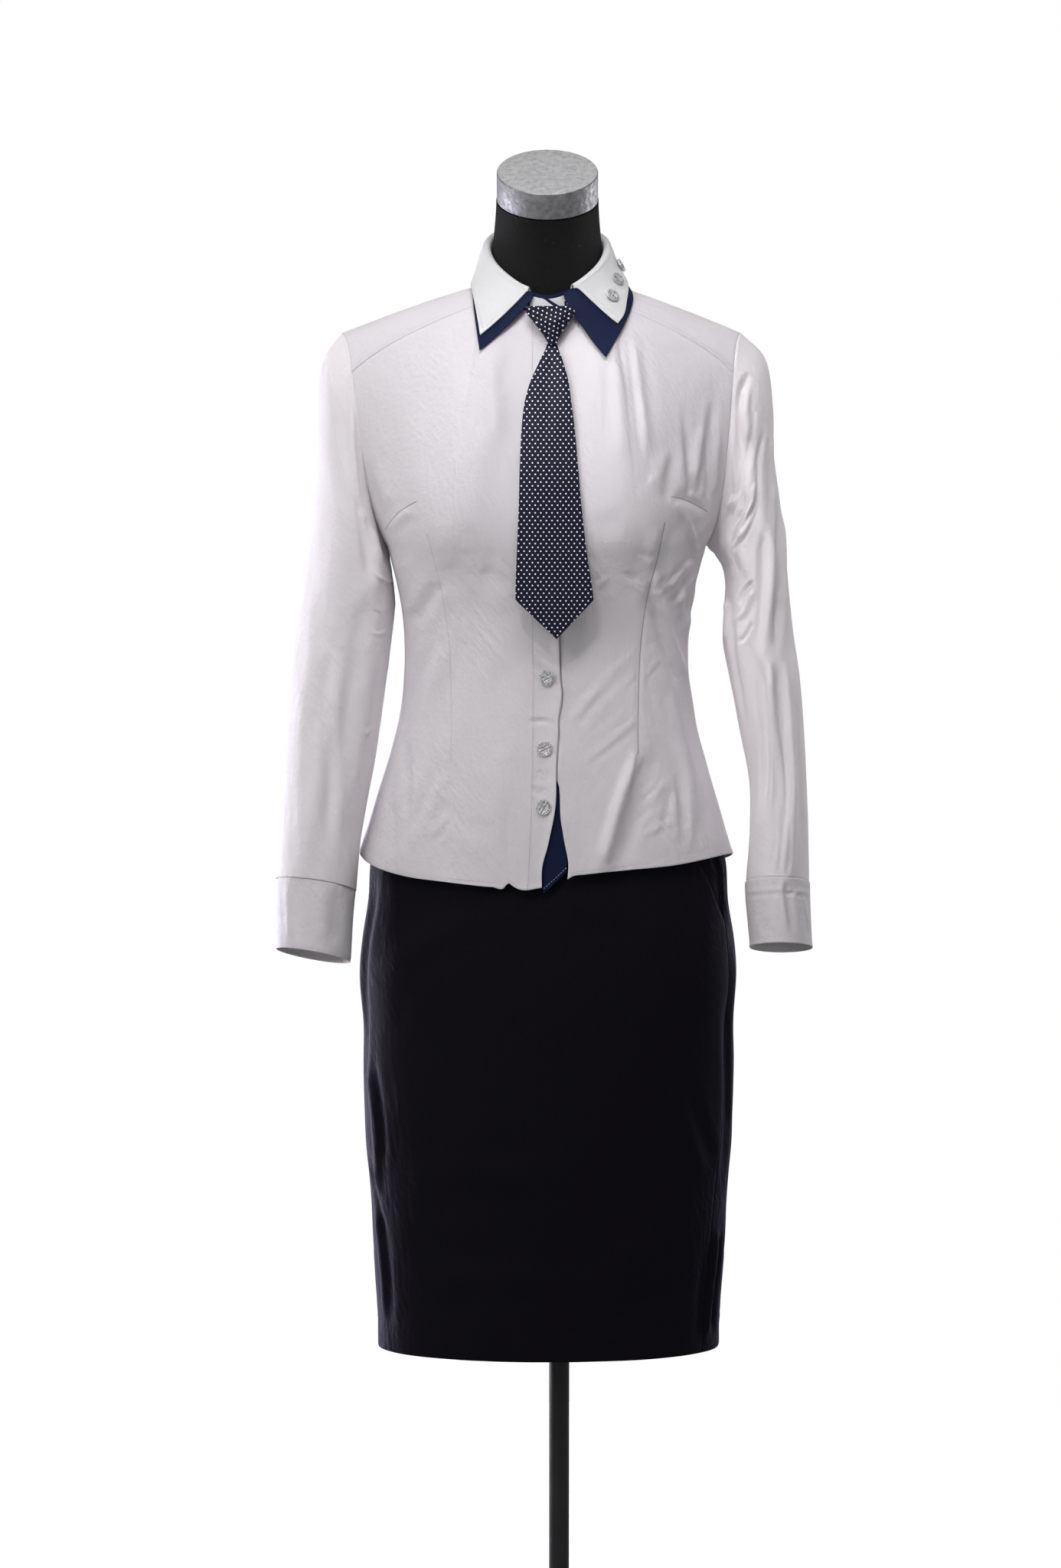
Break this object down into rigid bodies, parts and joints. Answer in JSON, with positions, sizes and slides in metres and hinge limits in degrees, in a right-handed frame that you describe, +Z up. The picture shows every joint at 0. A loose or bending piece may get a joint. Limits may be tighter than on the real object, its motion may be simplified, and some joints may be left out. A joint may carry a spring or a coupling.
{
  "type": "flight attendant uniform on a dress form",
  "caption": "Fitted white blouse with a white and navy double collar, dotted tie and navy pencil skirt, shown on a limbless black dress form that stands on a pole.",
  "frame": {"origin": "on the floor, on the axis of the stand's pole, in the middle of the base's underside", "axes": "+Z up, the front faces -Y, and +X is the wearer's left"},
  "size_m": [0.531, 0.34, 1.6013],
  "materials": {
    "blouse_cloth": "matte plain weave",
    "collar_cloth": "matte, stiffened",
    "navy_trim": "matte, stiffened",
    "skirt_cloth": "matte suiting",
    "tie_cloth": "satin with small white dots",
    "form_jersey": "fine knit jersey",
    "galvanised_cap": "galvanised, mottled",
    "black_metal": "satin black",
    "silver_buttons": "engraved, polished",
    "clear_buttons": "clear, cut with fine lines"
  },
  "bodies": {
    "root": {"base": "black_metal", "pole": "black_metal", "form_flange": "black_metal", "form": "form_jersey", "neck_cap": "galvanised_cap", "blouse_back": "blouse_cloth", "blouse_front_left": "blouse_cloth", "blouse_front_right": "blouse_cloth", "placket": "blouse_cloth", "button_band": "navy_trim", "yoke": "blouse_cloth", "sleeve_left": "blouse_cloth", "sleeve_right": "blouse_cloth", "cuff_left": "blouse_cloth", "cuff_right": "blouse_cloth", "collar_stand": "collar_cloth", "collar_edge": "navy_trim", "white_collar": "collar_cloth", "navy_collar": "navy_trim", "tie_band": "tie_cloth", "tie_knot": "tie_cloth", "tie_blade": "tie_cloth", "skirt_front": "skirt_cloth", "skirt_back_left": "skirt_cloth", "skirt_back_right": "skirt_cloth", "vent_underlay": "skirt_cloth", "pocket_facing_left": "skirt_cloth", "pocket_facing_right": "skirt_cloth", "waistband": "skirt_cloth", "front_button_1": "silver_buttons", "front_button_2": "silver_buttons", "front_button_3": "silver_buttons", "collar_button_1": "clear_buttons", "collar_button_2": "clear_buttons", "collar_button_3": "clear_buttons"}
  },
  "joints": []
}
